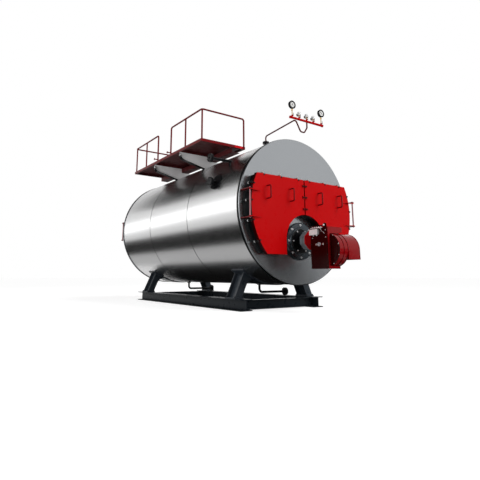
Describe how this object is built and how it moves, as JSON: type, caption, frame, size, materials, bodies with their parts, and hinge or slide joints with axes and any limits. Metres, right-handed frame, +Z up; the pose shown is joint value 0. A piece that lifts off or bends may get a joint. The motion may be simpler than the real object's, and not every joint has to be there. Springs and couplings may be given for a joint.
{
  "type": "industrial boiler",
  "caption": "Horizontal fire-tube steam boiler on a skid, with smoke box doors that open, a fan burner, a top platform and a gauge set.",
  "frame": {"origin": "on the ground at the middle of the whole part's length and, within 20 mm, of its width; the boiler axis is over x = 0", "axes": "+X to the right seen from the burner's side, +Y from the burner to the rear, +Z up"},
  "size_m": [2.838, 6.892, 4.089],
  "materials": {
    "cladding": "brushed",
    "end_plate": "satin",
    "dark_paint": "satin",
    "door_red": "gloss",
    "burner_red": "gloss",
    "skid_paint": "satin",
    "burner_grey": "satin",
    "grey_plastic": "matte",
    "gauge_white": "satin",
    "deck_steel": "satin"
  },
  "bodies": {
    "boiler": {"front_shell": "cladding", "middle_shell": "cladding", "rear_shell": "cladding", "front_plate": "end_plate", "rear_plate": "end_plate", "front_smoke_box": "dark_paint", "rear_smoke_box": "dark_paint", "front_left_hinge": "burner_red", "front_right_hinge": "burner_red", "rear_left_hinge": "burner_red", "rear_right_hinge": "burner_red", "left_beam": "skid_paint", "right_beam": "skid_paint", "cross_channels": "skid_paint", "front_saddle": "skid_paint", "rear_saddle": "skid_paint", "burner_mount": "burner_grey", "burner_throat": "dark_paint", "burner_flange": "burner_grey", "burner_head": "burner_red", "burner_casing": "burner_red", "fan_housing": "burner_red", "intake_hood": "burner_red", "control_box": "grey_plastic", "top_nozzle": "dark_paint", "gauge_pipe": "burner_red", "gauge_manifold": "burner_red", "pressure_gauges": "gauge_white", "pressure_switches": "grey_plastic", "platform_frame": "burner_red", "platform_deck": "deck_steel", "platform_brackets": "deck_steel", "platform_rail": "burner_red", "level_connections": "dark_paint", "drains": "dark_paint", "flue_outlet": "burner_grey", "rear_hatch": "burner_grey"},
    "front_left_leaf": {"front_left_door": "door_red", "front_left_handles": "door_red"},
    "front_right_leaf": {"front_right_door": "door_red", "front_right_handles": "door_red"},
    "rear_left_leaf": {"rear_left_door": "door_red", "rear_left_handles": "door_red"},
    "rear_right_leaf": {"rear_right_door": "door_red", "rear_right_handles": "door_red"}
  },
  "joints": [
    {"name": "front_left_door_hinge", "type": "hinge", "parent": "boiler", "child": "front_left_leaf", "pos_m": [-1.315, -2.588, 1.848], "axis": [0, 0, -1], "range_deg": [0, 110]},
    {"name": "front_right_door_hinge", "type": "hinge", "parent": "boiler", "child": "front_right_leaf", "pos_m": [1.315, -2.588, 1.848], "axis": [0, 0, 1], "range_deg": [0, 110]},
    {"name": "rear_left_door_hinge", "type": "hinge", "parent": "boiler", "child": "rear_left_leaf", "pos_m": [-1.315, 3.356, 1.848], "axis": [0, 0, 1], "range_deg": [0, 110]},
    {"name": "rear_right_door_hinge", "type": "hinge", "parent": "boiler", "child": "rear_right_leaf", "pos_m": [1.315, 3.356, 1.848], "axis": [0, 0, -1], "range_deg": [0, 110]}
  ]
}
